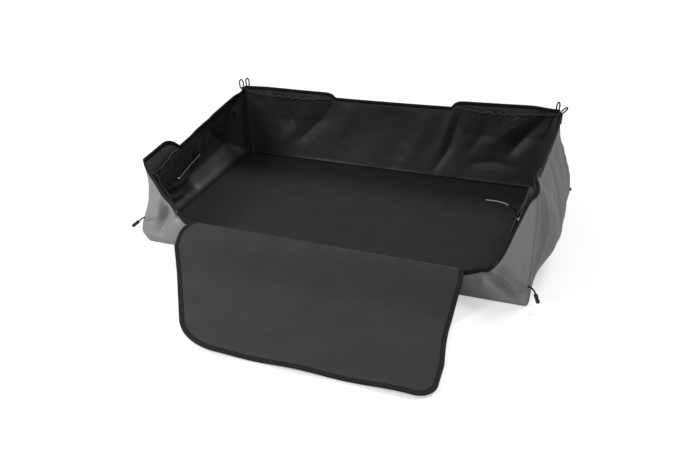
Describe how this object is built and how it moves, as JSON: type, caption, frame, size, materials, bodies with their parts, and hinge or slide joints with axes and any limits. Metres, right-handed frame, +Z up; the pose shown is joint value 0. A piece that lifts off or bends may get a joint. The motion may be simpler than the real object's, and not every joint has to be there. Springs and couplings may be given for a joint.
{
  "type": "boot tray",
  "caption": "Soft fabric tub for a car's boot: low front rim with a felt sill flap laid out over it, gathered cuffs at the corners, cord loops and toggled straps.",
  "frame": {"origin": "centre of the tub floor's underside, on the surface the tray stands on", "axes": "+Z up, +X to the tray's right as seen from its low sill side, +Y to its rear wall; the flap lies towards -Y"},
  "size_m": [1.2084, 1.1481, 0.3165],
  "materials": {
    "coated_fabric": "coated woven fabric, black inside and silver-grey outside, with a soft sheen",
    "floor_cloth": "matt black cloth over a stiff board",
    "flap_felt": "matt charcoal felt",
    "cuff_cloth": "black coated cloth, slightly satin",
    "black_tape": "black woven tape",
    "black_elastic": "braided black elastic",
    "black_plastic": "matt black moulded plastic",
    "bright_steel": "bright crimped steel",
    "grey_elastic": "stiff light-grey cord"
  },
  "bodies": {
    "root": {"flap_binding": "black_tape", "floor_panel": "floor_cloth", "front_left_cuff": "cuff_cloth", "front_left_rim_binding": "black_tape", "front_left_strap": "black_elastic", "front_left_toggle": "black_plastic", "front_right_cuff": "cuff_cloth", "front_right_rim_binding": "black_tape", "front_right_strap": "black_elastic", "front_right_toggle": "black_plastic", "front_wall": "coated_fabric", "left_bead": "bright_steel", "left_gather_cord": "black_elastic", "left_rim_binding": "black_tape", "left_tail": "grey_elastic", "left_wall": "coated_fabric", "left_wall_loop": "black_elastic", "rear_floor_piping": "black_tape", "rear_left_cuff": "cuff_cloth", "rear_left_short_loop": "black_elastic", "rear_left_strap": "black_elastic", "rear_left_tab": "black_tape", "rear_left_tall_loop": "black_elastic", "rear_left_toggle": "black_plastic", "rear_right_cuff": "cuff_cloth", "rear_right_short_loop": "black_elastic", "rear_right_strap": "black_elastic", "rear_right_tab": "black_tape", "rear_right_tall_loop": "black_elastic", "rear_right_toggle": "black_plastic", "rear_rim_binding": "black_tape", "rear_wall": "coated_fabric", "right_bead": "bright_steel", "right_gather_cord": "black_elastic", "right_rim_binding": "black_tape", "right_tail": "grey_elastic", "right_wall": "coated_fabric", "sill_flap": "flap_felt"}
  },
  "joints": []
}
